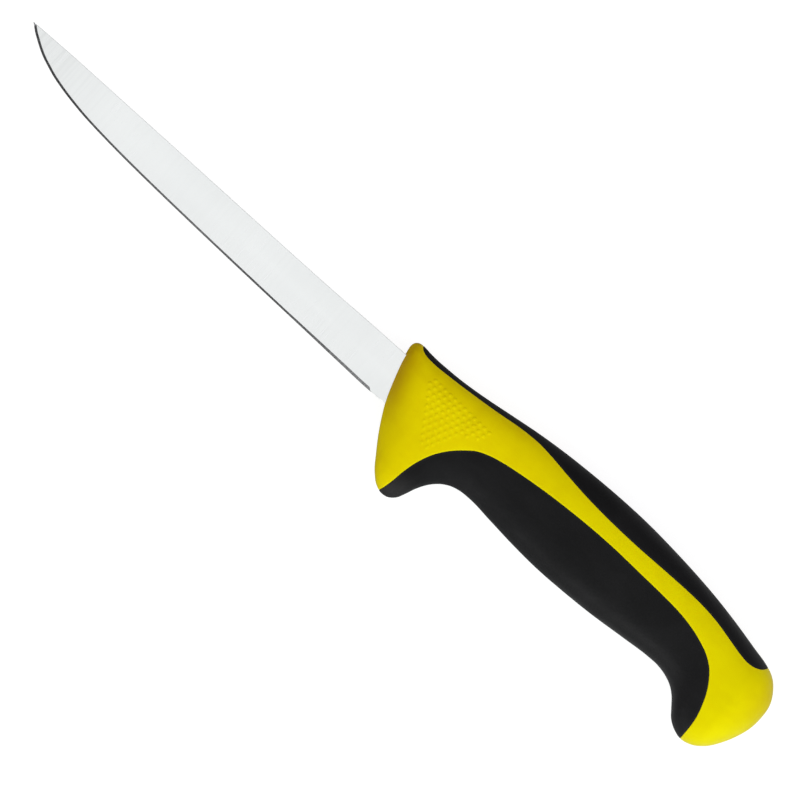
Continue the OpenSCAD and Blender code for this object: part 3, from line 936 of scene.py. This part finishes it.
def bevel_steel():
    """The stone-ground bevel: coarser, with lines square to the edge, and darker, partly as painted
    shade for its dark reflection.
    """
    m = Material("ground_bevel_steel")
    lines = m.noise(scale=1.0, roughness=0.7, vector=m.mapped((6500, 300, 1)))

    def lined(dark, light):
        return m.mix(m.ramp(lines, span=(0.3, 0.7)), srgb(*dark), srgb(*light))

    x = m.xyz()[0]
    tone = lined((112, 112, 113), (142, 142, 144))
    # darker towards the tip, lighter towards the heel
    for span, dark, light in (((-0.100, -0.130), (100, 100, 102), (132, 132, 134)),
                              ((-0.046, -0.022), (158, 158, 160), (196, 196, 198))):
        tone = m.mix(m.ramp(x, span=span), tone, lined(dark, light))
    return m.finish({
        "Base Color": tone,
        "Metallic": 1.0,
        "Roughness": m.ramp(lines, span=(0.3, 0.7), to=(0.20, 0.30)),
        "Normal": m.bump(lines, distance=0.00002, strength=0.4)})


# ------------------------------------------------------------------ floor, light, camera
FLOOR_DROP = 0.0002     # floor below the lowest point of the CAD
FLOOR_RADIUS = 6.0


def floor():
    bm = bmesh.new()
    bmesh.ops.create_circle(bm, cap_ends=True, segments=96, radius=FLOOR_RADIUS)
    ob = place("floor", bmesh_to_mesh("floor", bm))
    ob.location.z = cad_box[0][2] - FLOOR_DROP
    mat = bpy.data.materials.new("pale_floor")
    tree = Tree(mat)
    # the sweep glows a little, more towards the butt; the camera sees it near white
    position = tree.add("NewGeometry").outputs["Position"]
    x = tree.add("SeparateXYZ", {0: position}).outputs[0]
    glow = tree.ramp(x, span=(-0.02, 0.16), to=(0.03, 0.45))
    camera_ray = tree.add("LightPath").outputs["Is Camera Ray"]
    seen = tree.add("Mix", {0: camera_ray, 2: glow, 3: 0.86}).outputs[0]
    diffuse = tree.add("BsdfDiffuse", {"Color": (0.28, 0.28, 0.28, 1)}).outputs[0]
    emission = tree.add("Emission", {"Color": (1, 1, 1, 1), "Strength": seen}).outputs[0]
    both = tree.add("AddShader", {0: diffuse, 1: emission}).outputs[0]
    tree.add("OutputMaterial", {0: both})
    ob.data.materials.append(mat)


# soft light by direction, per channel: base, its slopes along X, Y and Z, and its most
SOFT_LIGHT = [
    (0.37, 0.48, -0.42, 0.77, 1.28),
    (0.225, 0.68, -0.58, 1.00, 1.45),
    (0.33, 0.60, -0.48, 0.86, 1.35)]
SOFT_LEAST = 0.08


def steel_view(tree, dx, dy, dz):
    """What polished steel sees: a bright top, a dark flag and a bright strip on the -Y side."""
    math_node, ramp = tree.math, tree.ramp
    lean = math_node("ARCTAN2", math_node("MULTIPLY", dy, -1.0), dz)   # from +Z towards -Y
    flag = math_node("MULTIPLY", ramp(lean, span=(0.42, 0.68)), ramp(lean, span=(1.15, 0.95)))
    top_gain, level = 0.52, 0.49
    seen = math_node("MULTIPLY", ramp(dz, span=(-0.1, 0.9)), top_gain)
    seen = math_node("ADD", seen, level)
    seen = math_node("MULTIPLY", seen, ramp(lean, span=(-1.3, -0.6), to=(0.10, 1)))
    strip = math_node("MULTIPLY", ramp(lean, span=(0.95, 1.25)),
                      ramp(math_node("ABSOLUTE", dx), span=(0.60, 0.35)))
    strip = math_node("MULTIPLY", strip, ramp(lean, span=(1.52, 1.40)))
    strip_gain, flag_strength = 6.6, 0.88
    seen = math_node("MULTIPLY", seen, math_node("MULTIPLY_ADD", strip, strip_gain, 1.0))
    shade = math_node("MULTIPLY", flag, flag_strength)
    return math_node("MULTIPLY", seen, math_node("SUBTRACT", 1.0, shade))


def world():
    """Soft light for the plastics, its own view for reflections, white for the camera."""
    studio = bpy.data.worlds.new("studio")
    bpy.context.scene.world = studio
    tree = Tree(studio)
    direction = tree.add("TexCoord").outputs["Generated"]
    dx, dy, dz = tree.add("SeparateXYZ", {0: direction}).outputs
    seen = steel_view(tree, dx, dy, dz)
    path = tree.add("LightPath")
    camera_ray, glossy_ray = path.outputs["Is Camera Ray"], path.outputs["Is Glossy Ray"]
    channels = {}
    for k, (base, slope_x, slope_y, slope_z, most) in enumerate(SOFT_LIGHT):
        soft = tree.math("MULTIPLY_ADD", dx, slope_x, base)
        soft = tree.math("MULTIPLY_ADD", dy, slope_y, soft)
        soft = tree.math("MULTIPLY_ADD", dz, slope_z, soft)
        soft = tree.math("MINIMUM", tree.math("MAXIMUM", soft, SOFT_LEAST), most)
        value = tree.math("ADD",
                          tree.math("MULTIPLY", soft, tree.math("SUBTRACT", 1.0, glossy_ray)),
                          tree.math("MULTIPLY", seen, glossy_ray))
        dimmed = tree.math("MULTIPLY", value, tree.math("SUBTRACT", 1.0, camera_ray))
        channels[k] = tree.math("ADD", dimmed, camera_ray)
    colour = tree.add("CombineColor", channels).outputs[0]
    background = tree.add("Background", {"Color": colour, "Strength": 1.0}).outputs[0]
    tree.add("OutputWorld", {0: background})


def key_light():
    location, target = Vector((0.66, -0.55, 0.50)), Vector((0.02, 0, 0))
    light = bpy.data.lights.new("key", "AREA")
    light.shape, light.size, light.size_y = "RECTANGLE", 0.5, 0.4
    light.energy = 1.2
    ob = place("key", light)
    ob.location = location
    ob.rotation_euler = (target - location).to_track_quat("-Z", "Y").to_euler()


def camera():
    """Looks straight down from far off with a long lens, turned about Z."""
    cam = bpy.data.cameras.new("camera")
    cam.sensor_width, cam.lens = 36, 1000
    cam.clip_start, cam.clip_end = 0.01, 50
    ob = place("camera", cam)
    ob.location = (0.00835, -0.00397, 6.80)
    ob.rotation_euler = (0, 0, rad(41.92))
    bpy.context.scene.camera = ob


# ------------------------------------------------------------------ build
def build_knife():
    angle_count, dotted_step = ((215, 0.2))
    yellow, steel, bevel, black = yellow_plastic(), blade_steel(), bevel_steel(), soft_grip()
    # name, x range, dotted step, angle count, depth rule, slot, material
    mouldings = [
        ("handle_core", -1, 160, dotted_step, angle_count, recess_depth, "core_plastic", yellow),
        ("belly_grip", 20.5, 143, 0.27, 170, grip_depth, "soft_grip", black),
        ("spine_grip", 1.0, 148.6, 0.27, 215, grip_depth, "soft_grip", black)]
    pieces = []
    for name, low, high, step, count, depth, slot, mat in mouldings:
        me = build_piece(name, stations(low, high, step), arc_angles(count), depth)
        pieces.append(make(name, me, mat))
    blade = make("blade", build_blade(), steel)
    add_tang(blade)
    cut_slot(pieces[0])
    for ob in pieces:
        mark_wear_and_painted_shade(ob.data)
    paint_blade(blade.data, steel, bevel)


build_knife()
floor()
world()
key_light()
camera()
view = bpy.context.scene.view_settings
view.view_transform, view.look, view.exposure, view.gamma = "Standard", "None", 0, 1
